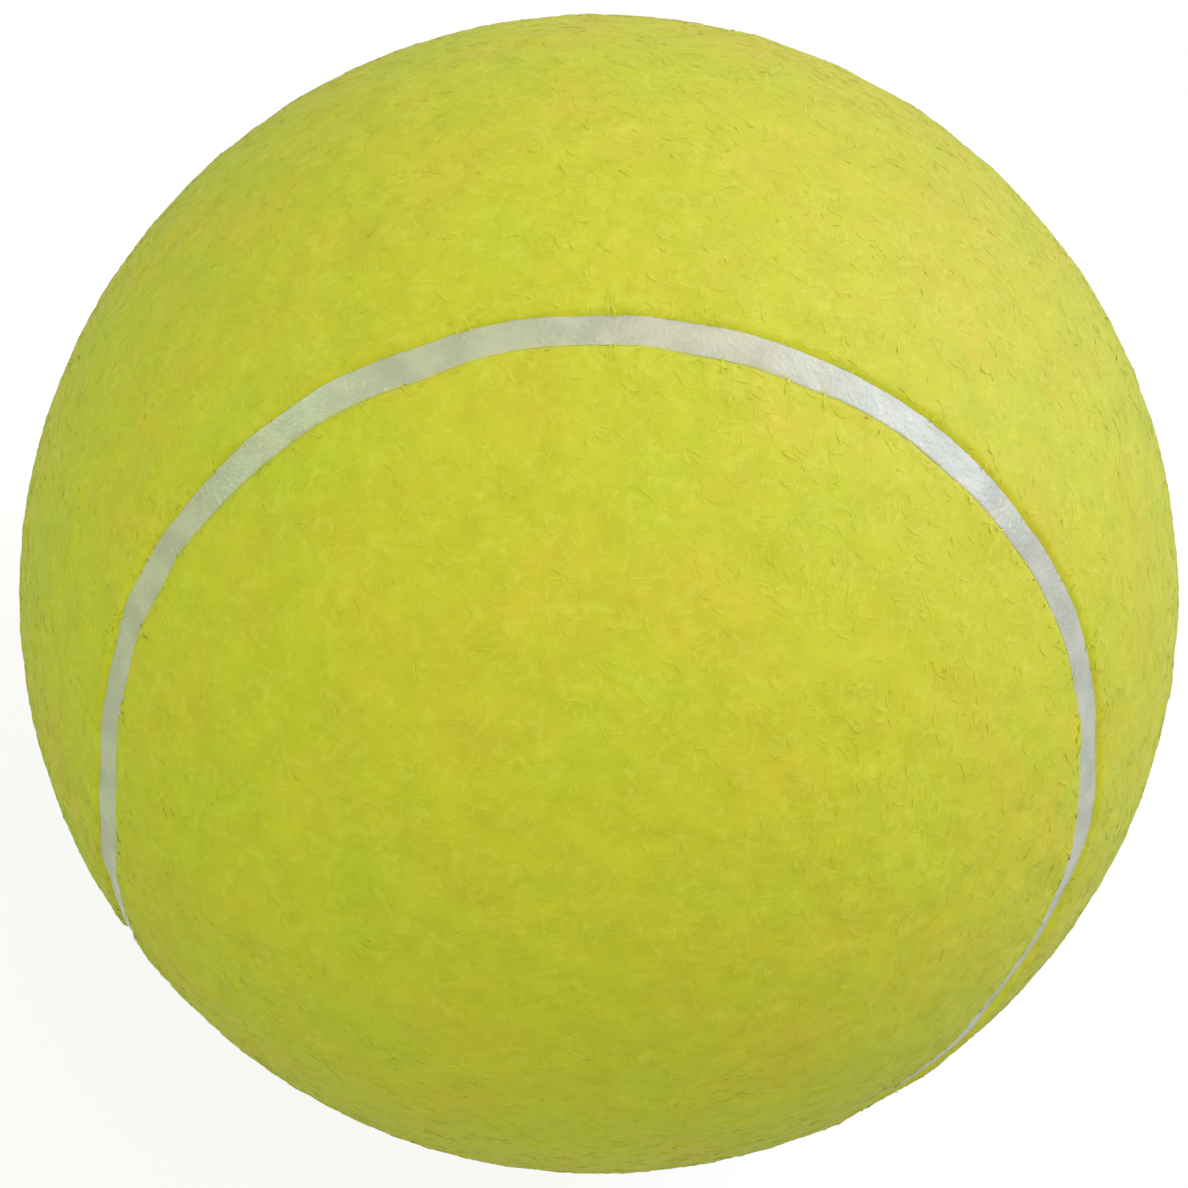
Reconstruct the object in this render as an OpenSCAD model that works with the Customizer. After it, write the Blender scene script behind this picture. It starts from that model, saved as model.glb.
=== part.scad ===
// Tennis ball: a hollow rubber core of two half-shells, two dumbbell-shaped felt panels
// cemented round it, and one rubber seam between them. The origin is the ball's centre.
// +Z runs through the waist of the top panel and -Z through the waist of the bottom one.
// The bottom panel's lobes rise at the front (-Y) and back, the top one's hang at the sides.

/* [Ball] */
// Diameter over the nap of the felt
ball_d = 67; // [65.4:0.1:73]
// Thickness of the felt cloth with its nap
felt_t = 3.1; // [2.4:0.1:3.6]

/* [Core] */
// Wall of each moulded rubber half-shell
core_wall = 3.4; // [2.8:0.1:4.5]
// Film of cement between the rims of the half-shells
rim_cement_t = 0.2; // [0.1:0.05:0.5]
// Radius of the bead that this cement squeezes out inside the core
rim_bead_r = 0.5; // [0.3:0.05:0.9]
// Coat of rubber solution dried on to the core
core_coat_t = 0.12; // [0.08:0.01:0.3]
// Coat of rubber solution on the back of each felt panel
panel_cement_t = 0.15; // [0.08:0.01:0.3]

/* [Seam] */
// Width of the rubber seam, measured across its face
seam_w = 1.5; // [1.2:0.1:3.5]
// Depth of the seam's face below the nap
seam_recess = 0.2; // [0.1:0.05:1.2]
// Width over which the nap rolls down to the seam on each side
nap_roll_w = 0.4; // [0.3:0.1:1.4]
// Height of each lobe's centre above or below the ball's equator, in degrees
lobe_tilt = 15; // [8:0.5:22]

/* [Hidden] */
$fn = 128;

// Radii of the layers, from the nap inwards
nap_r = ball_d / 2;
seam_face_r = nap_r - seam_recess;
felt_back_r = nap_r - felt_t;
coat_r = felt_back_r - panel_cement_t;
core_r = coat_r - core_coat_t;
cavity_r = core_r - core_wall;
// Shapes that cut reach past the nap
clear_r = 1.4 * nap_r;

// The middle of the seam is four equal arcs, one round the centre of each lobe. Neighbours
// meet on the equator, half way between two lobes, and run on into each other there.
lobe_step = 90;
// Angle at the ball's centre from the axis of a lobe to its arc
arc_angle = acos(cos(lobe_tilt) * cos(lobe_step / 2));
// Half the seam's width and the whole width of the rolled nap, as angles at the centre
seam_half_angle = asin(seam_w / 2 / seam_face_r);
roll_angle = asin(nap_roll_w / nap_r);
// The nap first drops steeply from the shoulder of its roll: how deep and how wide that is
shoulder_depth = 0.3;
shoulder_width = 0.4;

// Which way each panel's waist lies from the equator
top = 1;
bottom = -1;
// Lobes are numbered round the ball from the front
bottom_lobes = [0, 2];
top_lobes = [1, 3];

function polar(r, angle) = [r * sin(angle), r * cos(angle)];

// Places a shape drawn round +Z on the axis of lobe i
module on_lobe(i) {
    rotate([180 * (i % 2), 0, lobe_step * i])
        rotate([90 - lobe_tilt, 0, 0])
            children();
}

// A hollow ball between two radii
module shell(outer, inner) {
    difference() {
        sphere(r = outer);
        sphere(r = inner);
    }
}

// Half of space, above the equator (side = top) or below it
module half_space(side) {
    translate([0, 0, 2 * side * clear_r])
        cube(4 * clear_r, center = true);
}

// Both panels are alike: what is drawn for the bottom one turns over to become the top one's
module for_panel(panel) {
    rotate(panel == top ? [180, 0, lobe_step] : [0, 0, 0])
        children();
}

// Everything from the axis of lobe i out to one side of the seam: the inner side (-1) or the
// outer one (1). The side is radial, and where the nap rolls it falls away from the seam.
module round_lobe(i, side, rolled) {
    edge = arc_angle + side * seam_half_angle;
    foot = polar(seam_face_r, edge);
    shoulder = polar(
        nap_r - shoulder_depth * seam_recess,
        edge + side * shoulder_width * roll_angle
    );
    brow = polar(nap_r, edge + side * roll_angle);
    rim = rolled ? [foot, shoulder, shoulder + 3 * (brow - shoulder)] : [];
    on_lobe(i)
        rotate_extrude()
            polygon(concat(
                [[0, 0]],
                rim,
                rolled ? [] : [polar(clear_r, edge)],
                [polar(clear_r, edge / 2), [0, clear_r]]
            ));
}

// A layer of the bottom panel between two radii: its waist below the equator, cut away round
// the other panel's lobes, and its own two lobes above the equator
module panel_layer(outer, inner, rolled) {
    difference() {
        shell(outer, inner);
        half_space(top);
        for (i = top_lobes)
            round_lobe(i, 1, rolled);
    }
    for (i = bottom_lobes)
        intersection() {
            shell(outer, inner);
            half_space(top);
            round_lobe(i, -1, rolled);
        }
}

module felt_panel(panel) {
    color([0.80, 0.80, 0.26])
        for_panel(panel)
            panel_layer(nap_r, felt_back_r, true);
}

module panel_cement(panel) {
    color([0.86, 0.80, 0.62])
        for_panel(panel)
            panel_layer(felt_back_r, coat_r, false);
}

module seam_rubber() {
    color([0.86, 0.87, 0.84])
        for (panel = [bottom, top])
            for_panel(panel)
                for (i = bottom_lobes)
                    difference() {
                        intersection() {
                            shell(seam_face_r, coat_r);
                            half_space(top);
                            round_lobe(i, 1, false);
                        }
                        round_lobe(i, -1, false);
                    }
}

module core_half(side) {
    color([0.13, 0.13, 0.14])
        intersection() {
            shell(core_r, cavity_r);
            translate([0, 0, side * rim_cement_t / 2])
                half_space(side);
        }
}

module core_rim_cement() {
    color([0.55, 0.50, 0.42])
        intersection() {
            sphere(r = core_r);
            rotate_extrude() {
                translate([cavity_r - rim_bead_r / 2, -rim_cement_t / 2])
                    square([core_wall + rim_bead_r, rim_cement_t]);
                intersection() {
                    translate([cavity_r, 0])
                        circle(r = rim_bead_r);
                    circle(r = cavity_r);
                }
            }
        }
}

module core_coat() {
    color([0.90, 0.84, 0.66])
        shell(coat_r, core_r);
}

core_half(top);  // core_half_top
core_half(bottom);  // core_half_bottom
core_rim_cement();
core_coat();
panel_cement(top);  // panel_cement_top
panel_cement(bottom);  // panel_cement_bottom
felt_panel(top);  // felt_panel_top
felt_panel(bottom);  // felt_panel_bottom
seam_rubber();
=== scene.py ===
# %% [markdown]
# # A tennis ball in its felt
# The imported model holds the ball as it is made: a hollow rubber core of two halves, films of
# cement, two dumbbell-shaped felt panels and a rubber seam. This lesson keeps that model as a
# fixed frame and gives it its looks. The core and the cements are hard or hidden, so they keep
# their CAD shapes and only get materials. The felt and the seam are what one sees, so both
# panels, their nap and the seam are modelled again here, finer, in the same places.

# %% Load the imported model
import math

import bpy
import numpy as np
from mathutils import Matrix, Vector


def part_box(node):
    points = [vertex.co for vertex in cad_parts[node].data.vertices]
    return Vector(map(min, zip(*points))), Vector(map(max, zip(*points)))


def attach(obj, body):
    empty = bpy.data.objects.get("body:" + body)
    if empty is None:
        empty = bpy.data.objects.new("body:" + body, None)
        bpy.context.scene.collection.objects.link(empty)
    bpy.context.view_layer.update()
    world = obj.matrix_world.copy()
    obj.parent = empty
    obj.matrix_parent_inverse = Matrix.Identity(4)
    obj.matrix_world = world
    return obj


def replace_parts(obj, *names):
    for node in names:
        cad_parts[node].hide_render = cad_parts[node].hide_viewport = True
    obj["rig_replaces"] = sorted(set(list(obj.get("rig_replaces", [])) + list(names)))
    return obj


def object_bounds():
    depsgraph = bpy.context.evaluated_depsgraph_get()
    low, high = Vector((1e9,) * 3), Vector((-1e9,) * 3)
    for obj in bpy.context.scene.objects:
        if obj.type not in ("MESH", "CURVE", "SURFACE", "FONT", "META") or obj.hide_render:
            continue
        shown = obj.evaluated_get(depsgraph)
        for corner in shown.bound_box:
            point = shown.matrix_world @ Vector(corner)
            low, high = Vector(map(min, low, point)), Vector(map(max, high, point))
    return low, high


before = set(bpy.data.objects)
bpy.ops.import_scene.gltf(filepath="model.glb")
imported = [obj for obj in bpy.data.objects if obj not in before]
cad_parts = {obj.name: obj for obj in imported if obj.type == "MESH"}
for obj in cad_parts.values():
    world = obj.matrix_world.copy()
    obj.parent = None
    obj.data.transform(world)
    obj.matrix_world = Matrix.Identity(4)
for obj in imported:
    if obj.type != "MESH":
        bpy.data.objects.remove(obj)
cad_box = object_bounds()
mm = 0.001
print("CAD nodes:", ", ".join(sorted(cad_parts)))

# %% [markdown]
# ## The camera
# The photograph looks down on the ball from the front, a little from the left, with the camera
# rolled so that the ball's own upward axis leans to the right of the picture. The ball nearly
# fills the frame, which needs a lens of 59 mm at three and a half radii from its centre. The
# lens shift moves the ball the few pixels off centre that it is in the photograph. A Track To
# constraint could aim the camera but not roll it, so its axes are written into its matrix.

# %% Place the camera
ball_radius = cad_box[1].z
camera_distance = 3.5 * ball_radius
towards_camera = Vector((-0.17491, -0.75883, 0.62736))
camera_up = Vector((-0.34585, 0.64393, 0.68246))
camera_right = camera_up.cross(towards_camera)

bpy.ops.object.camera_add()
camera = bpy.context.object
camera.name = "camera"
turn = Matrix((camera_right, camera_up, towards_camera)).transposed().to_4x4()
camera.matrix_world = Matrix.Translation(towards_camera * camera_distance) @ turn
camera.data.lens = 58.85
camera.data.shift_x = -0.0039
camera.data.clip_start = 0.01
bpy.context.scene.camera = camera
print("camera at", [round(x / mm, 1) for x in camera.matrix_world.translation], "mm")

# %% [markdown]
# ## Sizes that the pieces share
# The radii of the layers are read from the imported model. The path of the seam can't be read
# from a box, so its few numbers are written out: four circular arcs, one round the axis of each
# lobe of felt. The lobes of the bottom panel rise at the front and back of the ball, and those
# of the top panel hang at its sides. The angle of an arc follows from the tilt of the lobes,
# because neighbouring arcs meet on the equator, half way between two lobes.

# %% Measure the layers and lay out the seam
seam_width = 1.5 * mm
seam_recess = 0.2 * mm
nap_roll = 0.4 * mm
lobe_tilt = math.radians(15)
lobe_step = math.radians(90)

nap_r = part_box("felt_panel_top")[1].z
felt_back_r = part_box("panel_cement_top")[1].z
seam_face_r = nap_r - seam_recess
arc_angle = math.acos(math.cos(lobe_tilt) * math.cos(lobe_step / 2))
seam_half_angle = seam_width / 2 / seam_face_r
out, lift = math.cos(lobe_tilt), math.sin(lobe_tilt)
LOBES = {
    "front": Vector((0, -out, lift)),
    "right": Vector((out, 0, -lift)),
    "back": Vector((0, out, lift)),
    "left": Vector((-out, 0, -lift)),
}
print(f"nap at {nap_r / mm:.2f} mm, felt from {felt_back_r / mm:.2f} mm")
print(f"arcs of {math.degrees(arc_angle):.2f} degrees of ball round the centre of each lobe")


# %% [markdown]
# ## Small helpers
# An operator works on what is selected. These helpers select one piece or a set of its faces, and
# apply a modifier, so that the modelling cells below stay short.

# %% Helpers for selecting
def pick(piece):
    """Select this piece alone and make it the active one."""
    if bpy.context.mode != "OBJECT":
        bpy.ops.object.mode_set(mode="OBJECT")
    bpy.ops.object.select_all(action="DESELECT")
    piece.select_set(True)
    bpy.context.view_layer.objects.active = piece


def edit_faces(piece, chosen):
    """Open a piece in edit mode with only the chosen faces selected."""
    pick(piece)
    bpy.context.tool_settings.mesh_select_mode = (False, False, True)
    piece.data.vertices.foreach_set("select", np.zeros(len(piece.data.vertices), bool))
    piece.data.edges.foreach_set("select", np.zeros(len(piece.data.edges), bool))
    piece.data.polygons.foreach_set("select", np.asarray(chosen, bool))
    bpy.ops.object.mode_set(mode="EDIT")


# %% Helpers for reading and moving a mesh
def points_of(piece):
    """The vertices of a mesh as an array with a row for each."""
    flat = np.empty(len(piece.data.vertices) * 3)
    piece.data.vertices.foreach_get("co", flat)
    return flat.reshape(-1, 3)


def set_points(piece, points):
    """Move the vertices of a mesh to these places."""
    piece.data.vertices.foreach_set("co", points.astype(np.float32).ravel())
    piece.data.update()


def face_centres(piece):
    """The middle of each face of a mesh as an array with a row for each."""
    flat = np.empty(len(piece.data.polygons) * 3)
    piece.data.polygons.foreach_get("center", flat)
    return flat.reshape(-1, 3)


# %% Helpers for modifiers
def apply_modifier(piece, kind, **settings):
    """Add a modifier with these settings and apply it."""
    pick(piece)
    modifier = piece.modifiers.new(kind.title(), kind)
    for name, value in settings.items():
        setattr(modifier, name, value)
    bpy.ops.object.modifier_apply(modifier=modifier.name)


def cloud_texture(name, size, colours=False, depth=2):
    """A cloudy noise for a Displace modifier, with blobs of about this size."""
    texture = bpy.data.textures.new(name, "CLOUDS")
    texture.noise_scale = size
    texture.noise_depth = depth
    texture.cloud_type = "COLOR" if colours else "GRAYSCALE"
    return texture


# %% [markdown]
# ## The felt panels
# A panel is a dumbbell of woven cloth, cut flat, stretched over half of the core and cemented
# down. A flat cut that is wrapped by a simulation would need the maker's exact pattern. Here the
# shape on the ball is known, so the panel is cut from a finely divided sphere: bisect slices it
# with a plane for each arc of the seam, because a circle on a sphere lies in a plane. One panel
# is cut, and the other is a copy turned over, as on the real ball.

# %% Cut the outer skin of the bottom panel
FIELD_CUTS = 55  # how often each edge of the sphere is divided
ASKEW = (0.3, 0.5, 0.7)  # turns the sphere, so that none of its edges lies along a cut
SPARE = 1.0 * mm  # skin that is left past the panel's edge until the edge is cut
FINE_BAND = 1.3 * mm  # skin within the edge that is divided once more, for the roll
ON_THE_CUT = 1e-7  # corners nearer than this to a cut belong to it


def press_to_sphere(piece, radius):
    """Bring every point of a piece to this distance from the ball's centre."""
    apply_modifier(
        piece, "CAST", cast_type="SPHERE", factor=1.0, size=radius, use_radius_as_size=False
    )


bpy.ops.object.select_all(action="DESELECT")
bpy.ops.mesh.primitive_ico_sphere_add(subdivisions=2, radius=nap_r, rotation=ASKEW)
skin = bpy.context.object
bpy.ops.object.transform_apply(location=False, rotation=True, scale=False)
edit_faces(skin, np.ones(len(skin.data.polygons)))
bpy.ops.mesh.subdivide(number_cuts=FIELD_CUTS)
press_to_sphere(skin, nap_r)


def into_panel(points):
    """How far each point lies inside the bottom panel, along the ball from the seam's middle."""
    unit = points / np.linalg.norm(points, axis=1)[:, None]
    angle = {name: np.arccos(np.clip(unit @ np.array(axis), -1, 1)) for name, axis in LOBES.items()}
    above = arc_angle - np.minimum(angle["front"], angle["back"])
    below = np.minimum(angle["left"], angle["right"]) - arc_angle
    return nap_r * np.where(unit[:, 2] > 0, above, below)


seam_half = nap_r * seam_half_angle
edit_faces(skin, into_panel(face_centres(skin)) < seam_half - SPARE)
bpy.ops.mesh.delete(type="FACE")
bpy.ops.object.mode_set(mode="OBJECT")
edit_faces(skin, into_panel(face_centres(skin)) < seam_half + FINE_BAND)
bpy.ops.mesh.subdivide(number_cuts=1)
press_to_sphere(skin, nap_r)
print("skin before the cuts:", len(skin.data.polygons), "faces")

edit_faces(skin, np.ones(len(skin.data.polygons)))
bpy.ops.mesh.bisect(plane_co=(0, 0, 0), plane_no=(0, 0, 1), threshold=ON_THE_CUT)


def cut_round(piece, lobe, side):
    """Cut along one side of the seam round a lobe: its inner side (-1) or its outer side (1)."""
    bpy.ops.object.mode_set(mode="OBJECT")
    axis = LOBES[lobe]
    centres = face_centres(piece)
    towards = centres[:, :2] @ np.array(axis)[:2]
    edit_faces(piece, (centres[:, 2] * side < 0) & (towards > 0))
    plane = axis * nap_r * math.cos(arc_angle + side * seam_half_angle)
    bpy.ops.mesh.bisect(
        plane_co=plane, plane_no=axis, clear_inner=side < 0, clear_outer=side > 0,
        threshold=ON_THE_CUT,
    )


for lobe, side in (("front", -1), ("back", -1), ("left", 1), ("right", 1)):
    cut_round(skin, lobe, side)
bpy.ops.object.mode_set(mode="OBJECT")
print("skin after the cuts:", len(skin.data.polygons), "faces")

# %% [markdown]
# ## Rolling the edge of the cloth
# Beside the seam the nap bends over and dips to the rubber. In edit mode that is one move: the
# rim of the skin is scaled towards the ball's centre with proportional editing, and the skin
# within the width of the roll follows in a smooth curve.

# %% Roll the rim down to the seam
TUCK = 0.08 * mm  # how far the rim goes below the face of the rubber


def pick_rim(piece):
    """Open a piece in edit mode with only its open edges selected."""
    pick(piece)
    bpy.context.tool_settings.mesh_select_mode = (True, False, False)
    bpy.ops.object.mode_set(mode="EDIT")
    bpy.ops.mesh.select_all(action="DESELECT")
    bpy.ops.mesh.select_non_manifold(
        extend=False, use_wire=False, use_boundary=True, use_multi_face=False,
        use_non_contiguous=False, use_verts=False,
    )


pick_rim(skin)
bpy.ops.mesh.remove_doubles(threshold=0.04 * mm)
bpy.ops.mesh.select_all(action="SELECT")
bpy.ops.mesh.quads_convert_to_tris()
pick_rim(skin)
dip = (seam_face_r - TUCK) / nap_r
bpy.ops.transform.resize(
    value=(dip, dip, dip), center_override=(0, 0, 0), use_proportional_edit=True,
    proportional_edit_falloff="SHARP", proportional_size=nap_roll, use_proportional_connected=True,
)
bpy.ops.object.mode_set(mode="OBJECT")
radii = np.linalg.norm(points_of(skin), axis=1)
rolled = np.mean(radii < nap_r - 0.02 * mm)
print(f"rim at {radii.min() / mm:.2f} mm, {rolled:.1%} of the skin rolled")

# %% [markdown]
# ## Giving the panel its thickness
# Solidify adds the woven back and the wall along the seam. The back is then pressed on to the
# cement's radius. It is glued down and never seen, so decimate leaves it only a few faces.

# %% Add the back of the panel
FIRST_WALL = 2.0 * mm  # thickness until the back is pressed into place
BACK_SHARE = 0.05  # share of the back's faces that is kept

skin.vertex_groups.new(name="back")
outer_count = len(skin.data.vertices)
apply_modifier(skin, "SOLIDIFY", thickness=FIRST_WALL, offset=-1.0, shell_vertex_group="back")
points = points_of(skin)
points[outer_count:] *= felt_back_r / np.linalg.norm(points[outer_count:], axis=1)[:, None]
set_points(skin, points)
on_back = np.linalg.norm(face_centres(skin), axis=1) < felt_back_r + 0.05 * mm
edit_faces(skin, on_back)
bpy.ops.mesh.decimate(ratio=BACK_SHARE)
bpy.ops.object.mode_set(mode="OBJECT")
print("closed panel:", len(skin.data.polygons), "faces")

# %% [markdown]
# ## The lie of the nap
# No panel is cut dead straight, so its edge wanders by a few tenths of a millimetre, and the
# nap on it is lumpy. Displace modifiers with cloudy noise do both. Vertex groups say where they
# act: the wander fades out away from the seam, and the lumps spare the glued back. The seam
# piece is given the same wander further down, so that the two stay side by side.

# %% Name the parts of the panel that move
WALL_SHOWN = 0.3 * mm  # depth below the rubber's face to which the cloth's wall moves
WANDER_FADE = 2.5 * mm  # width over which the wander fades out
NAP_AT_EDGE = 0.35  # weight of the nap at the panel's edge
NAP_RISE = 1.2 * mm  # width over which that weight would grow by 1


def weigh(piece, name, weights):
    """Store an array of weights as a vertex group, in steps of a hundredth."""
    group = piece.vertex_groups.new(name=name)
    steps = np.round(np.clip(weights, 0, 1) * 100).astype(int)
    for step in range(1, 101):
        group.add(np.flatnonzero(steps == step).tolist(), step / 100, "REPLACE")


points = points_of(skin)
radii = np.linalg.norm(points, axis=1)
inside = into_panel(points) - seam_half
shown = radii > seam_face_r - WALL_SHOWN
weigh(skin, "edge", np.where(shown | (inside < 0.1 * mm), 1 - inside / WANDER_FADE, 0))
weigh(skin, "nap", np.where(shown, NAP_AT_EDGE + inside / NAP_RISE, 0))
print("weighed parts:", ", ".join(group.name for group in skin.vertex_groups))

# %% [markdown]
# Both panels of a real ball are cut alike, so the top panel is the bottom one turned over. A half
# turn about the line between two lobes brings the one exactly to the other. The copy is made
# before the displacing, so that each panel gets lumps and an edge of its own.

# %% Turn a copy over for the top panel
pick(skin)
bpy.ops.object.duplicate()
turned = bpy.context.object
turned.matrix_world = Matrix.Rotation(math.pi, 4, Vector((1, 1, 0)).normalized())
bpy.ops.object.transform_apply(location=False, rotation=True, scale=False)
panels = {"bottom": skin, "top": turned}
print("top panel from", round(points_of(turned)[:, 2].min() / mm, 2), "mm up")

# %% Displace both panels
WANDER = dict(
    texture=cloud_texture("wandering cut", 6.0 * mm, colours=True, depth=1),
    direction="RGB_TO_XYZ", texture_coords="LOCAL", mid_level=0.5, strength=0.55 * mm,
)
LUMPS = dict(
    texture=cloud_texture("lumps in the nap", 2.2 * mm), vertex_group="nap",
    texture_coords="LOCAL", mid_level=0.5, strength=0.20 * mm,
)
TUFTS = dict(
    texture=cloud_texture("tufts of fibre", 0.9 * mm), vertex_group="nap",
    texture_coords="LOCAL", mid_level=0.5, strength=0.10 * mm,
)
for side, panel in panels.items():
    panel.name = panel.data.name = f"felt_{side}"
    apply_modifier(panel, "DISPLACE", vertex_group="edge", **WANDER)
    apply_modifier(panel, "DISPLACE", **LUMPS)
    apply_modifier(panel, "DISPLACE", **TUFTS)
    bpy.ops.object.shade_smooth_by_angle(angle=math.radians(60))
    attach(panel, "root")
    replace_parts(panel, f"felt_panel_{side}")
    radii = np.linalg.norm(points_of(panel), axis=1)
    print(f"{panel.name}: {len(panel.data.polygons)} faces, out to {radii.max() / mm:.2f} mm")

# %% [markdown]
# ## The rubber seam
# On the real ball the seam is rubber that squeezed up between the panels in the mould. It has
# one cross-section all the way round. A bevelled curve would give that too, but its section
# can twist along the way. Spin keeps it square to the ball: the outline of the section is drawn
# once, where two arcs meet, and spun round the axis of each lobe in turn. The sections at the
# ends of neighbouring arcs coincide, and the last one closes on the first.

# %% Draw the section of the seam
SEAM_OVERLAP = 0.10 * mm  # the band is wider than its gap by this, so no slit shows beside it
SEAM_BEVEL = 0.06 * mm
FACE_CUTS = 9  # cuts in the face of the section, which let the noise bend it

start = Vector((-1, -1, 0)).normalized()
across = (LOBES["front"] - start * LOBES["front"].dot(start)).normalized()
seam_depth = seam_face_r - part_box("core_coat")[1].z

bpy.ops.object.select_all(action="DESELECT")
bpy.ops.mesh.primitive_plane_add(size=1)
seam = bpy.context.object
seam.name = seam.data.name = "seam_band"
seam.scale = (seam_width + SEAM_OVERLAP, seam_depth, 1)
bpy.ops.object.transform_apply(location=False, rotation=False, scale=True)
bpy.ops.object.mode_set(mode="EDIT")
bpy.ops.mesh.bevel(offset=SEAM_BEVEL, segments=3, affect="VERTICES")
bpy.ops.mesh.delete(type="ONLY_FACE")
bpy.ops.object.mode_set(mode="OBJECT")
bpy.context.tool_settings.mesh_select_mode = (False, True, False)
for edge in seam.data.edges:
    a, b = (seam.data.vertices[i].co for i in edge.vertices)
    on_top = min(a.y, b.y) > seam_depth / 2 - 0.01 * mm
    edge.select = on_top and abs(a.x - b.x) > seam_width / 2
bpy.ops.object.mode_set(mode="EDIT")
bpy.ops.mesh.subdivide(number_cuts=FACE_CUTS)
bpy.ops.object.mode_set(mode="OBJECT")
section = Matrix((across, start, across.cross(start))).transposed().to_4x4()
seam.matrix_world = Matrix.Translation(start * (seam_face_r - seam_depth / 2)) @ section
bpy.ops.object.transform_apply()
print("section of the seam:", len(seam.data.vertices), "corners")

# %% Spin the section round each lobe
ARC_STEPS = 290  # sections along each arc, 0.3 mm apart
# The turn round a lobe's axis from where its arc starts on the equator to where it ends there
sweep = 2 * math.pi - math.acos(-1 / math.tan(arc_angle) ** 2)
bpy.ops.object.mode_set(mode="EDIT")
bpy.ops.mesh.select_all(action="SELECT")
for lobe, way in (("front", 1), ("right", -1), ("back", 1), ("left", -1)):
    bpy.ops.mesh.spin(
        steps=ARC_STEPS, angle=sweep, center=(0, 0, 0), axis=LOBES[lobe] * way, use_auto_merge=False
    )
bpy.ops.mesh.select_all(action="SELECT")
bpy.ops.mesh.remove_doubles(threshold=0.02 * mm)
bpy.ops.mesh.normals_make_consistent(inside=False)
bpy.ops.object.mode_set(mode="OBJECT")
radii = np.linalg.norm(points_of(seam), axis=1)
reach = f"from {radii.min() / mm:.2f} to {radii.max() / mm:.2f} mm"
print(f"seam: {len(seam.data.polygons)} faces, {reach}")

# %% [markdown]
# The band takes the same wander as the cut edges of the cloth, so it stays between them. A
# finer noise leaves its face a little uneven, as rubber that was squeezed and never trimmed.

# %% Let the seam wander with the cloth
UNEVEN_DEPTH = 0.5 * mm  # how far below its face the rubber is uneven
UNEVEN_FADE = 0.4 * mm  # width over which that sets in

weigh(seam, "face", (radii - (seam_face_r - UNEVEN_DEPTH)) / UNEVEN_FADE)
apply_modifier(seam, "DISPLACE", **WANDER)
apply_modifier(
    seam, "DISPLACE", texture=cloud_texture("uneven rubber", 0.6 * mm), vertex_group="face",
    texture_coords="LOCAL", mid_level=0.5, strength=0.06 * mm,
)
pick(seam)
bpy.ops.object.shade_smooth()
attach(seam, "root")
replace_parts(seam, "seam_rubber")
radii = np.linalg.norm(points_of(seam), axis=1)
print(f"{seam.name}: out to {radii.max() / mm:.2f} mm")

# %% [markdown]
# ## Materials
# A picture of felt would stretch and show joins on a ball. Noise in three dimensions fits any
# shape, and felt and rubber have no regular grain, so every finish here is made of noise. Node
# groups hold the patterns that several finishes share, and helpers keep their wiring short.

# %% Helpers for node groups
def new_group(name, inputs, outputs):
    """A node group with float inputs (name, default) and float outputs."""
    group = bpy.data.node_groups.new(name, "ShaderNodeTree")
    group.interface.new_socket("Place", in_out="INPUT", socket_type="NodeSocketVector")
    for label, value in inputs:
        socket = group.interface.new_socket(label, in_out="INPUT", socket_type="NodeSocketFloat")
        socket.default_value = value
    for label in outputs:
        group.interface.new_socket(label, in_out="OUTPUT", socket_type="NodeSocketFloat")
    return group, group.nodes.new("NodeGroupInput"), group.nodes.new("NodeGroupOutput")


def calc(tree, operation, *values):
    """A Math node over these values, each of them a number or an output."""
    node = tree.nodes.new("ShaderNodeMath")
    node.operation = operation
    for socket, value in zip(node.inputs, values):
        if isinstance(value, (int, float)):
            socket.default_value = value
        else:
            tree.links.new(value, socket)
    return node.outputs[0]


# %% Helpers for patterns and colours
def noise(tree, place, size, detail, roughness, distortion=0.0):
    """A noise with blobs of about this size, as a value from 0 to 1."""
    node = tree.nodes.new("ShaderNodeTexNoise")
    node.inputs["Scale"].default_value = 1 / size
    node.inputs["Detail"].default_value = detail
    node.inputs["Roughness"].default_value = roughness
    node.inputs["Distortion"].default_value = distortion
    tree.links.new(place, node.inputs["Vector"])
    return node.outputs["Fac"]


def spread(tree, value, low, high):
    """Stretch the values from low to high over 0 to 1, with soft ends."""
    node = tree.nodes.new("ShaderNodeMapRange")
    node.interpolation_type = "SMOOTHSTEP"
    node.inputs["From Min"].default_value = low
    node.inputs["From Max"].default_value = high
    tree.links.new(value, node.inputs["Value"])
    return node.outputs["Result"]


def moved(tree, place, offset):
    """The same place shifted, so that two patterns don't fall together."""
    node = tree.nodes.new("ShaderNodeMapping")
    node.inputs["Location"].default_value = offset
    tree.links.new(place, node.inputs["Vector"])
    return node.outputs["Vector"]


def tint(tree, colour, other, amount):
    """Mix a colour or colour output towards another by a value output."""
    node = tree.nodes.new("ShaderNodeMix")
    node.data_type = "RGBA"
    for socket, given in ((node.inputs[6], colour), (node.inputs[7], other)):
        if isinstance(given, tuple):
            socket.default_value = (*given, 1)
        else:
            tree.links.new(given, socket)
    tree.links.new(amount, node.inputs["Factor"])
    return node.outputs[2]
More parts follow.
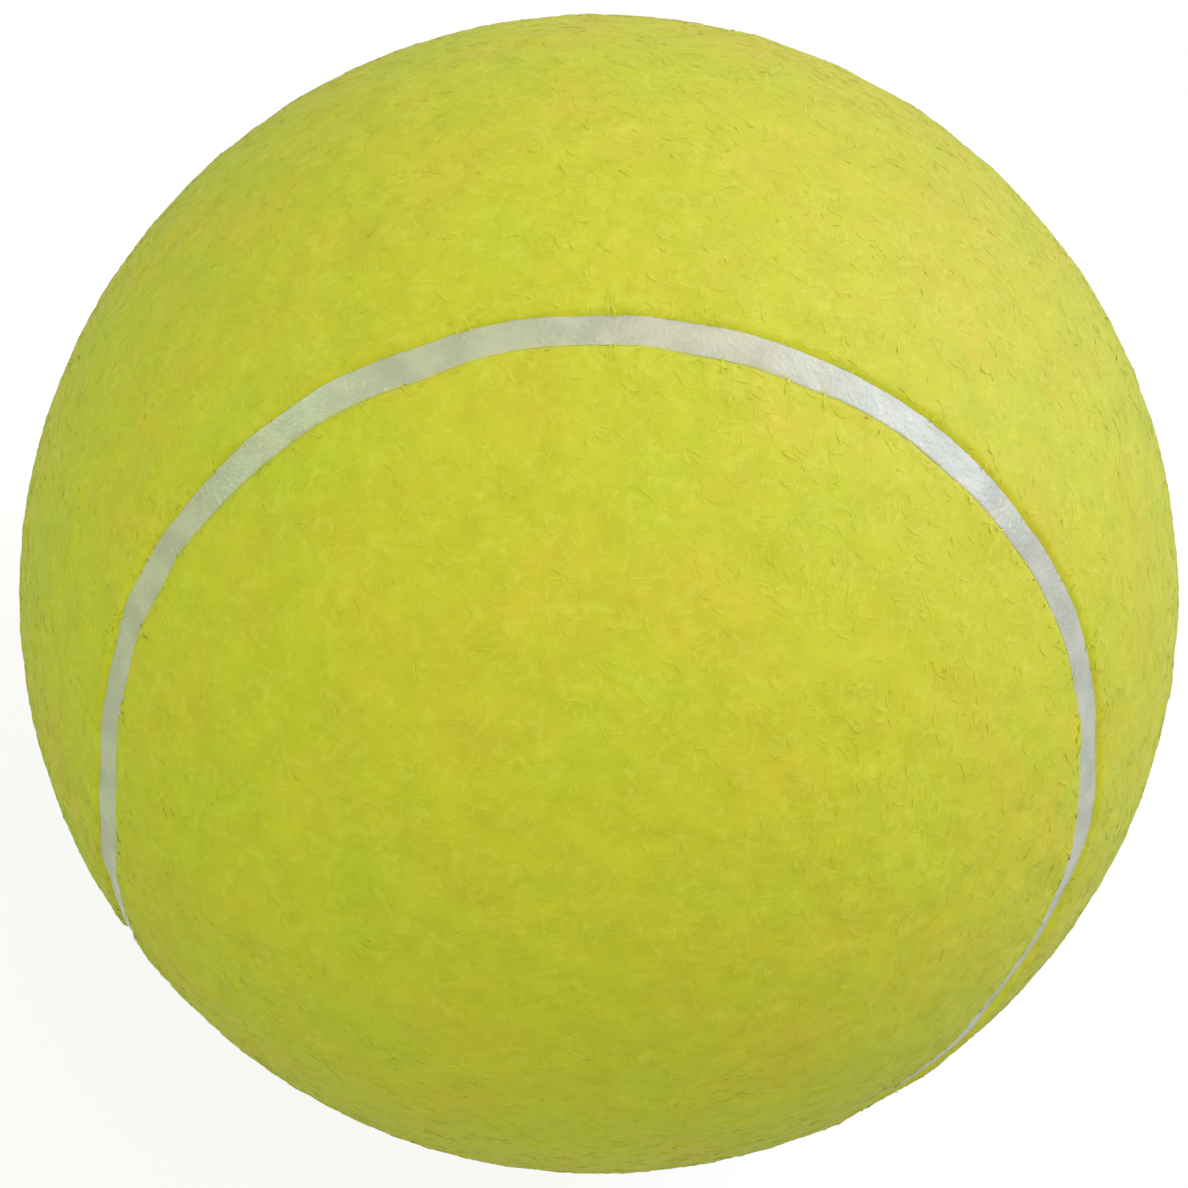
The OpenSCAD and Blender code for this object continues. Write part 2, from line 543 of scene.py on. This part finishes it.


# %% [markdown]
# The first group gives the patchy tone of dyed wool, wide warm and green patches, with two marks
# of painted light: a finer dark mottle of painted shade, and short pale flecks, painted glints where
# fibres would catch the light. The cloth and its loose fibres both read it at the same place on the
# ball, so a fibre takes the tone of the cloth under it.

# %% The patchy tone of dyed wool, with painted shade and painted glints
wool_tone_and_painted_light, tone_in, tone_out = new_group(
    "patchy tone of wool", [], ["Warm", "Green", "Painted shade", "Painted glint"]
)
here = tone_in.outputs["Place"]
elsewhere = moved(wool_tone_and_painted_light, here, (0.31, 0.17, 0.53))
patches = {
    "Warm": spread(wool_tone_and_painted_light, noise(wool_tone_and_painted_light, here, 6 * mm, 5, 0.70), 0.42, 0.74),
    "Green": spread(wool_tone_and_painted_light, noise(wool_tone_and_painted_light, elsewhere, 7 * mm, 5, 0.68), 0.44, 0.76),
    # The mottle is painted shade, and the pale flecks are painted glints.
    "Painted shade": spread(wool_tone_and_painted_light, noise(wool_tone_and_painted_light, here, 1.8 * mm, 3, 0.6), 0.30, 0.70),
    "Painted glint": spread(wool_tone_and_painted_light, noise(wool_tone_and_painted_light, here, 0.9 * mm, 2, 0.5, 1.2), 0.48, 0.72),
}
for label, value in patches.items():
    wool_tone_and_painted_light.links.new(value, tone_out.inputs[label])
print("wool tone gives:", ", ".join(patches))

# %% [markdown]
# The second group is the relief of matted fibres. A noise that is strongly distorted by itself
# draws thin curled ridges, which is what a brushed nap looks like from a step away.

# %% The relief of matted fibres
FINE_SHARE = 0.5  # height of the fine strands against that of the curls

matting, mat_in, mat_out = new_group("matted fibres", [], ["Height"])
here = mat_in.outputs["Place"]
elsewhere = moved(matting, here, (0.2, 0.4, 0.1))
curls = noise(matting, here, 0.55 * mm, 4, 0.62, 2.5)
strands = noise(matting, elsewhere, 0.22 * mm, 2, 0.5, 3.0)
height = calc(matting, "MULTIPLY_ADD", strands, FINE_SHARE, curls)
matting.links.new(height, mat_out.inputs["Height"])
print("matted fibres:", len(matting.nodes), "nodes")

# %% [markdown]
# The third group is for everything that was moulded, dipped or brushed on as a liquid: soft
# cloudiness, fine specks, and a height that joins both.

# %% The unevenness of rubber and cement
rubber_skin, skin_in, skin_out = new_group(
    "skin of rubber", [("Cloud size", 2.0), ("Speck size", 0.25)], ["Cloud", "Speck", "Height"]
)


def sized_noise(tree, group_in, label, detail):
    """A noise whose blob size in millimetres is an input of the group."""
    node = tree.nodes.new("ShaderNodeTexNoise")
    node.inputs["Detail"].default_value = detail
    tree.links.new(calc(tree, "DIVIDE", 1 / mm, group_in.outputs[label]), node.inputs["Scale"])
    tree.links.new(group_in.outputs["Place"], node.inputs["Vector"])
    return node.outputs["Fac"]


clouds = sized_noise(rubber_skin, skin_in, "Cloud size", 3)
specks = sized_noise(rubber_skin, skin_in, "Speck size", 1)
rubber_skin.links.new(spread(rubber_skin, clouds, 0.3, 0.7), skin_out.inputs["Cloud"])
rubber_skin.links.new(spread(rubber_skin, specks, 0.62, 0.78), skin_out.inputs["Speck"])
rubber_skin.links.new(calc(rubber_skin, "ADD", clouds, specks), skin_out.inputs["Height"])
print("skin of rubber:", len(rubber_skin.nodes), "nodes")


# %% [markdown]
# Each finish is a Principled shader of its own. Numbers that are the same all over a surface
# are set on the shader's sockets, and the groups feed its colour and normal.

# %% Helpers for materials
def new_material(name, group, **shader_values):
    """A material whose Principled shader has these plain values, with one group placed in it."""
    material = bpy.data.materials.new(name)
    material.use_nodes = True
    tree = material.node_tree
    shader = tree.nodes["Principled BSDF"]
    for label, value in shader_values.items():
        shader.inputs[label.replace("_", " ")].default_value = value
    place = tree.nodes.new("ShaderNodeTexCoord").outputs["Object"]
    pattern = tree.nodes.new("ShaderNodeGroup")
    pattern.node_tree = group
    tree.links.new(place, pattern.inputs["Place"])
    return material, tree, shader, pattern, place


def add_bump(tree, shader, height, strength, distance):
    """Let a height disturb the shader's normal."""
    bump = tree.nodes.new("ShaderNodeBump")
    bump.inputs["Strength"].default_value = strength
    bump.inputs["Distance"].default_value = distance
    tree.links.new(height, bump.inputs["Height"])
    tree.links.new(bump.outputs["Normal"], shader.inputs["Normal"])


# %% [markdown]
# Tennis felt is wool and nylon dyed one yellow, but its fibres lie every way, so some patches look
# warm and others green. The tones of the wool group are laid over the dye's own colour one after
# another; its dark mottle is painted shade and its pale flecks are painted glints. Loose fibres are
# slightly paler than the cloth, and each has a tone of its own.

# %% Felt cloth and its loose fibres
FELT_YELLOW = (0.62, 0.61, 0.034)
FIBRE_YELLOW = (0.63, 0.62, 0.038)
PALE_FIBRE = (0.78, 0.76, 0.14)
OWN_TONE = 0.19  # how far a fibre's own tone may take it towards the pale one
# Warm and green are tones of the dye; the dark olive mottle is painted shade, the pale fleck a painted
# glint.
TONES_AND_PAINTED_LIGHT = {
    "Warm": (0.71, 0.55, 0.050),
    "Green": (0.50, 0.62, 0.032),
    "Painted shade": (0.46, 0.46, 0.014),
    "Painted glint": (0.75, 0.74, 0.12),
}
WOOL = dict(
    Roughness=0.7, Sheen_Weight=0.05, Sheen_Roughness=0.6, Sheen_Tint=(0.75, 0.95, 0.65, 1),
    Specular_IOR_Level=0.5,
)


def wool_colour_and_painted_light(tree, pattern, colour, painted_shade):
    """Wool tones over a colour, with this much mottle of painted shade, and flecks of painted glint.
    """
    shares = {"Warm": 0.80, "Green": 0.58, "Painted shade": painted_shade, "Painted glint": 0.30}
    for label, share in shares.items():
        amount = calc(tree, "MULTIPLY", pattern.outputs[label], share)
        colour = tint(tree, colour, TONES_AND_PAINTED_LIGHT[label], amount)
    return colour


felt_cloth, tree, shader, pattern, place = new_material("felt cloth", wool_tone_and_painted_light, **WOOL)
tree.links.new(wool_colour_and_painted_light(tree, pattern, FELT_YELLOW, painted_shade=0.38), shader.inputs["Base Color"])
relief = tree.nodes.new("ShaderNodeGroup")
relief.node_tree = matting
tree.links.new(place, relief.inputs["Place"])
add_bump(tree, shader, relief.outputs["Height"], 0.25, 0.08 * mm)

felt_fibre, tree, shader, pattern, _ = new_material("felt fibre", wool_tone_and_painted_light, **WOOL)
own = tree.nodes.new("ShaderNodeAttribute")
own.attribute_name = "tone"
colour = wool_colour_and_painted_light(tree, pattern, FIBRE_YELLOW, painted_shade=0.32)
colour = tint(tree, colour, PALE_FIBRE, calc(tree, "MULTIPLY", own.outputs["Fac"], OWN_TONE))
tree.links.new(colour, shader.inputs["Base Color"])
for panel in panels.values():
    panel.data.materials.clear()
    panel.data.materials.append(felt_cloth)
print("felt cloth:", len(felt_cloth.node_tree.nodes), "nodes")

# %% [markdown]
# The seam is pale rubber that was cured against a smooth mould. It is smoother than the felt, so
# it shines a little where the key light strikes it, and grains of filler show as pale specks.

# %% Rubber of the seam
SEAM_GREY = (0.55, 0.55, 0.54)
SEAM_CLOUD = (0.43, 0.44, 0.43)
SEAM_SPECK = (0.72, 0.72, 0.72)

seam_finish, tree, shader, pattern, _ = new_material(
    "seam rubber", rubber_skin, Roughness=0.38, Specular_IOR_Level=0.75
)
pattern.inputs["Cloud size"].default_value = 1.8
pattern.inputs["Speck size"].default_value = 0.22
colour = tint(tree, SEAM_GREY, SEAM_CLOUD, pattern.outputs["Cloud"])
colour = tint(tree, colour, SEAM_SPECK, calc(tree, "MULTIPLY", pattern.outputs["Speck"], 0.5))
tree.links.new(colour, shader.inputs["Base Color"])
add_bump(tree, shader, pattern.outputs["Height"], 0.4, 0.08 * mm)
seam.data.materials.clear()
seam.data.materials.append(seam_finish)
print("finish of the seam:", seam.data.materials[0].name)


# %% [markdown]
# The hidden pieces keep their CAD meshes. They show when someone opens the model, so each has a
# finish of its own: black moulded rubber, a brown cement, and amber coats of rubber solution.

# %% Core rubber, cement and rubber solution
def hidden_finish(name, base, other, roughness, cloud_size, bump):
    """A rubber-like finish for the pieces inside the ball."""
    material, tree, shader, pattern, _ = new_material(
        name, rubber_skin, Roughness=roughness, Specular_IOR_Level=0.4
    )
    pattern.inputs["Cloud size"].default_value = cloud_size
    tree.links.new(tint(tree, base, other, pattern.outputs["Cloud"]), shader.inputs["Base Color"])
    add_bump(tree, shader, pattern.outputs["Height"], bump, 0.05 * mm)
    return material


BLACK, WORN_BLACK = (0.020, 0.020, 0.022), (0.034, 0.033, 0.032)
BROWN, DARK_BROWN = (0.22, 0.17, 0.10), (0.15, 0.11, 0.06)
AMBER, DARK_AMBER = (0.72, 0.61, 0.36), (0.62, 0.49, 0.25)

core_rubber = hidden_finish("core rubber", BLACK, WORN_BLACK, roughness=0.7, cloud_size=3.0, bump=0.3)
rim_cement = hidden_finish("rim cement", BROWN, DARK_BROWN, roughness=0.45, cloud_size=1.2, bump=0.5)
solution = hidden_finish("rubber solution", AMBER, DARK_AMBER, roughness=0.4, cloud_size=4.0, bump=0.4)
FINISHES = {
    "core_half_top": core_rubber, "core_half_bottom": core_rubber, "core_rim_cement": rim_cement,
    "core_coat": solution, "panel_cement_top": solution, "panel_cement_bottom": solution,
    "felt_panel_top": felt_cloth, "felt_panel_bottom": felt_cloth, "seam_rubber": seam_finish,
}
for name, finish in FINISHES.items():
    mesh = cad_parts[name].data
    mesh.materials.clear()
    mesh.materials.append(finish)
print("materials:", ", ".join(m.name for m in bpy.data.materials if m.users))

# %% [markdown]
# ## The nap
# The nap is thousands of short wool fibres, each curled its own way and felted down into the
# others. A hair system would draw them, but it leaves no mesh behind. Here a few fibres are
# modelled as closed slivers, flatter than they are wide, and geometry nodes scatter copies over
# the panels, half sunk into the cloth. Each has only a dozen or so faces, because there are so
# many, and each is given a number of its own, from which its tone is taken.

# %% Model a few curled fibres
FLATNESS = 0.35


def curled_fibre(name, radius, turn, back_turn, width, steps):
    """Spin a tiny triangle into an arc, and draw both ends to a point."""
    bpy.ops.object.select_all(action="DESELECT")
    bpy.ops.mesh.primitive_circle_add(vertices=3, radius=width / 2, rotation=(0, math.pi / 2, 0))
    fibre = bpy.context.object
    fibre.name = fibre.data.name = name
    bpy.ops.object.transform_apply()
    bpy.context.tool_settings.mesh_select_mode = (True, False, False)
    bpy.ops.object.mode_set(mode="EDIT")
    bpy.ops.mesh.select_all(action="SELECT")
    bpy.ops.mesh.spin(steps=steps, angle=turn, center=(0, radius, 0), axis=(0, 0, 1))
    if back_turn:
        bpy.ops.object.mode_set(mode="OBJECT")
        end = points_of(fibre)[-3:].mean(axis=0)
        centre = end + (end - np.array((0, radius, 0)))
        bpy.ops.object.mode_set(mode="EDIT")
        bpy.ops.mesh.spin(steps=2, angle=back_turn, center=centre, axis=(0, 0, -1))
    for ring in (slice(0, 3), slice(-3, None)):
        bpy.ops.object.mode_set(mode="OBJECT")
        select = np.zeros(len(fibre.data.vertices), bool)
        select[ring] = True
        fibre.data.polygons.foreach_set("select", np.zeros(len(fibre.data.polygons), bool))
        fibre.data.edges.foreach_set("select", np.zeros(len(fibre.data.edges), bool))
        fibre.data.vertices.foreach_set("select", select)
        bpy.ops.object.mode_set(mode="EDIT")
        bpy.ops.mesh.merge(type="CENTER")
    bpy.ops.mesh.select_all(action="SELECT")
    bpy.ops.mesh.normals_make_consistent(inside=False)
    bpy.ops.mesh.quads_convert_to_tris()
    bpy.ops.transform.resize(value=(1, 1, FLATNESS))
    bpy.ops.object.mode_set(mode="OBJECT")
    set_points(fibre, points_of(fibre) - points_of(fibre).mean(axis=0))
    bpy.ops.object.shade_smooth()
    fibre.data.materials.append(felt_fibre)
    return fibre


fibre_shapes = bpy.data.collections.new("fibre shapes")
CURLS = [  # radius in mm, turn and turn back in degrees, width in mm, and steps of the turn
    (1.10, 45, 0, 0.13, 3),
    (0.75, 65, 0, 0.11, 3),
    (0.50, 90, 0, 0.12, 3),
    (0.36, 130, 0, 0.10, 4),
    (0.70, 45, 40, 0.11, 2),
    (0.40, 80, 60, 0.10, 2),
    (1.60, 30, 0, 0.14, 3),
    (0.55, 60, 0, 0.15, 3),
]
for i, (radius, turn, back, width, steps) in enumerate(CURLS):
    arcs = math.radians(turn), math.radians(back)
    fibre = curled_fibre(f"fibre {i}", radius * mm, *arcs, width * mm, steps)
    fibre.users_collection[0].objects.unlink(fibre)
    fibre_shapes.objects.link(fibre)


# %% Scatter the fibres with geometry nodes
NAP_STANDS = 0.5  # fibres lie where the weight of the nap is above this
LENGTHS = (0.6, 1.35)  # of the fibres, as a share of the modelled ones
LEAN = 0.05  # radians by which a fibre tips out of the cloth, at most
DEPTHS = (-0.02 * mm, 0.01 * mm)  # of the fibres' middles, from under to over the cloth


def in_use(sockets, name=None):
    """The socket that a node has switched on, out of one for each kind of value."""
    return next(x for x in sockets if x.enabled and name in (None, x.name))


def scatter_nodes(seed, per_square_metre):
    """A node tree that turns a panel into fibres lying on its nap."""
    tree = bpy.data.node_groups.new(f"nap {seed}", "GeometryNodeTree")
    for way in ("INPUT", "OUTPUT"):
        tree.interface.new_socket("Geometry", in_out=way, socket_type="NodeSocketGeometry")
    link = tree.links.new

    def add(kind, values=None, **settings):
        """A node with these settings, and these plain values on its sockets."""
        node = tree.nodes.new(kind)
        for label, value in settings.items():
            setattr(node, label, value)
        for label, value in (values or {}).items():
            node.inputs[label].default_value = value
        return node

    def random(kind, low, high, draw):
        """A value of its own for each fibre. Every use has another draw, so none repeats."""
        node = add("FunctionNodeRandomValue", {"Seed": seed * 10 + draw}, data_type=kind)
        in_use(node.inputs, "Min").default_value = low
        in_use(node.inputs, "Max").default_value = high
        return in_use(node.outputs)

    # Points on the standing nap, each with the cloth's normal kept for the shading
    given, made = add("NodeGroupInput"), add("NodeGroupOutput")
    nap = add("GeometryNodeInputNamedAttribute", {"Name": "nap"}, data_type="FLOAT")
    on_nap = add("FunctionNodeCompare", data_type="FLOAT", operation="GREATER_THAN")
    on_nap.inputs[1].default_value = NAP_STANDS
    points = add(
        "GeometryNodeDistributePointsOnFaces", {"Density": per_square_metre, "Seed": seed},
        distribute_method="RANDOM",
    )
    lying = add(
        "GeometryNodeStoreNamedAttribute", {"Name": "lie"}, data_type="FLOAT_VECTOR", domain="POINT"
    )
    link(given.outputs[0], points.inputs["Mesh"])
    link(in_use(nap.outputs), on_nap.inputs[0])
    link(on_nap.outputs[0], points.inputs["Selection"])
    link(points.outputs["Points"], lying.inputs["Geometry"])
    link(points.outputs["Normal"], in_use(lying.inputs, "Value"))

    # One of the fibre shapes on each point
    shapes = add(
        "GeometryNodeCollectionInfo",
        {"Collection": fibre_shapes, "Separate Children": True, "Reset Children": True},
    )
    copies = add("GeometryNodeInstanceOnPoints", {"Pick Instance": True})
    link(lying.outputs[0], copies.inputs["Points"])
    link(points.outputs["Rotation"], copies.inputs["Rotation"])
    link(shapes.outputs[0], copies.inputs["Instance"])
    link(random("INT", 0, len(CURLS) - 1, 1), copies.inputs["Instance Index"])
    link(random("FLOAT", *LENGTHS, 2), copies.inputs["Scale"])

    # Turned its own way, a little sunk, and with a tone of its own
    leaning = add("GeometryNodeRotateInstances")
    sunk = add("GeometryNodeTranslateInstances")
    toned = add(
        "GeometryNodeStoreNamedAttribute", {"Name": "tone"}, data_type="FLOAT", domain="INSTANCE"
    )
    real = add("GeometryNodeRealizeInstances")
    least, most = (-LEAN, -LEAN, 0), (LEAN, LEAN, 2 * math.pi)
    under, over = ((0, 0, depth) for depth in DEPTHS)
    link(copies.outputs[0], leaning.inputs["Instances"])
    link(random("FLOAT_VECTOR", least, most, 3), leaning.inputs["Rotation"])
    link(leaning.outputs[0], sunk.inputs["Instances"])
    link(random("FLOAT_VECTOR", under, over, 4), sunk.inputs["Translation"])
    link(sunk.outputs[0], toned.inputs["Geometry"])
    link(random("FLOAT", 0.0, 1.0, 5), in_use(toned.inputs, "Value"))
    link(toned.outputs[0], real.inputs["Geometry"])
    link(real.outputs[0], made.inputs[0])
    return tree


# %% [markdown]
# Real fibres are too fine to catch the light one by one. The slivers are wider, so each would
# glint like a blade. Its shading is therefore turned most of the way towards the cloth's.
# Each panel gets its nap in three layers, because one mesh of it all would have too many faces.

# %% Lay the nap on both panels
NAP_LAYERS = 3
FIBRES_A_LAYER = 12800
FACE_SHARE = 0.52  # share of a panel's area that is its outer face
CLOTH_SHADING = 0.9


def shade_like_cloth(nap, share):
    """Turn the shading of each fibre towards that of the cloth it lies on."""
    lie = np.empty(len(nap.data.vertices) * 3)
    nap.data.attributes["lie"].data.foreach_get("vector", lie)
    normal = np.empty_like(lie)
    nap.data.vertex_normals.foreach_get("vector", normal)
    mixed = (share * lie + (1 - share) * normal).reshape(-1, 3)
    mixed /= np.linalg.norm(mixed, axis=1)[:, None]
    nap.data.normals_split_custom_set_from_vertices(mixed)
    nap.data.attributes.remove(nap.data.attributes["lie"])


nap_pieces = {side: [] for side in panels}
for side, panel in panels.items():
    area = sum(p.area for p in panel.data.polygons) * FACE_SHARE
    for layer in range(NAP_LAYERS):
        pick(panel)
        bpy.ops.object.duplicate()
        nap = bpy.context.object
        nap.name = nap.data.name = f"nap_{side}_{layer + 1}"
        del nap["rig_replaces"]
        seed = layer + (10 if side == "top" else 20)
        scatter = nap.modifiers.new("Scatter", "NODES")
        scatter.node_group = scatter_nodes(seed, FIBRES_A_LAYER / area)
        bpy.ops.object.modifier_apply(modifier="Scatter")
        shade_like_cloth(nap, CLOTH_SHADING)
        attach(nap, "root")
        nap_pieces[side].append(nap)
        print(f"{nap.name}: {len(nap.data.polygons)} faces")

# %% [markdown]
# Both panels are cloth. Measured along the ball 1 mm under the face of the nap, each is a dumbbell
# of 52 by 171 mm, with 64 square centimetres of cloth. Each lies stretched on the cement of its own
# panel.

for side, panel in panels.items():
    print(f"{panel.name} is cloth, with {len(nap_pieces[side])} layers of nap")

# %% [markdown]
# ## Floor and light
# A plain pale floor lies under the ball. A floor that is truly white would light the underside
# too strongly. This one is white to the camera, but sends only a part of the light back up, so
# the underside of the ball falls away as it does in the photograph.

# %% Lay the floor
FLOOR_SIZE = 2.4
FLOOR_TO_BALL = (0.23, 0.27, 0.27)
FLOOR_TO_CAMERA = (0.15, 0.15, 0.15)
FLOOR_GLOW = 0.88  # lifts the floor to white for the camera alone


def camera_sees(tree):
    """1 for rays that show the floor or the world as a background, 0 for those that light."""
    path = tree.nodes.new("ShaderNodeLightPath")
    total = path.outputs["Is Camera Ray"]
    for label in ("Is Glossy Ray", "Is Transmission Ray"):
        total = calc(tree, "MAXIMUM", total, path.outputs[label])
    return total


bpy.ops.object.select_all(action="DESELECT")
bpy.ops.mesh.primitive_plane_add(size=FLOOR_SIZE, location=(0, 0, -nap_r))
floor = bpy.context.object
floor.name = "floor"
floor_paint = bpy.data.materials.new("floor")
floor_paint.use_nodes = True
tree = floor_paint.node_tree
shader = tree.nodes["Principled BSDF"]
shader.inputs["Roughness"].default_value = 1.0
shader.inputs["Specular IOR Level"].default_value = 0.0
seen = camera_sees(tree)
tree.links.new(tint(tree, FLOOR_TO_BALL, FLOOR_TO_CAMERA, seen), shader.inputs["Base Color"])
tree.links.new(calc(tree, "MULTIPLY", seen, FLOOR_GLOW), shader.inputs["Emission Strength"])
shader.inputs["Emission Color"].default_value = (1, 1, 1, 1)
floor.data.materials.append(floor_paint)
print("floor at", round(floor.location.z / mm, 1), "mm")

# %% [markdown]
# The light in the photograph is soft and has no hard shadow. Its middle lies high and to the
# right, and weaker light fills in from the front and the left. One wide lamp would leave the far
# side too dark, so four large round lamps and a dim dome stand in for it. Each has a tint that
# brings out the felt's hue on its side of the ball. A lamp's strength is given as a share: at 1,
# a white card that faces it would render as white, so where the ball is brightest the shares
# add up to about 1.

# %% Light the scene
DOME_COLOUR = (0.90, 1.0, 0.65, 1)
DOME_SHARE = 0.20
LAMP_DISTANCE = 0.7

world = bpy.data.worlds.new("studio")
bpy.context.scene.world = world
world.use_nodes = True
tree = world.node_tree
dome = tree.nodes["Background"]
dome.inputs["Color"].default_value = DOME_COLOUR
dome.inputs["Strength"].default_value = DOME_SHARE
backdrop = tree.nodes.new("ShaderNodeBackground")
backdrop.inputs["Color"].default_value = (1, 1, 1, 1)
chosen = tree.nodes.new("ShaderNodeMixShader")
tree.links.new(camera_sees(tree), chosen.inputs[0])
tree.links.new(dome.outputs[0], chosen.inputs[1])
tree.links.new(backdrop.outputs[0], chosen.inputs[2])
tree.links.new(chosen.outputs[0], tree.nodes["World Output"].inputs["Surface"])


def add_lamp(name, azimuth, elevation, share, width, colour):
    """A round lamp that faces the ball from this azimuth (0 is the front, 90 the right)."""
    turn, rise = math.radians(azimuth), math.radians(elevation)
    direction = Vector(
        (math.sin(turn) * math.cos(rise), -math.cos(turn) * math.cos(rise), math.sin(rise))
    )
    bpy.ops.object.light_add(type="AREA", location=direction * LAMP_DISTANCE)
    lamp = bpy.context.object
    lamp.name = name
    lamp.rotation_euler = direction.to_track_quat("Z", "Y").to_euler()
    lamp.data.shape = "DISK"
    lamp.data.size = width
    lamp.data.energy = share * (math.pi * LAMP_DISTANCE) ** 2
    lamp.data.color = colour
    print(f"{name}: {lamp.data.energy:.2f} W")


# Azimuth and elevation in degrees, share of white, width in metres, and tint
add_lamp("key light", 115, 55, 0.83, 0.5, (0.66, 0.76, 1.0))
add_lamp("top light", 0, 88, 0.24, 0.5, (1.0, 0.62, 0.45))
add_lamp("front fill", 350, 23, 0.46, 0.3, (0.94, 1.0, 0.36))
add_lamp("left fill", 270, 15, 0.25, 0.3, (0.70, 1.0, 0.62))
bpy.context.scene.view_settings.view_transform = "Standard"
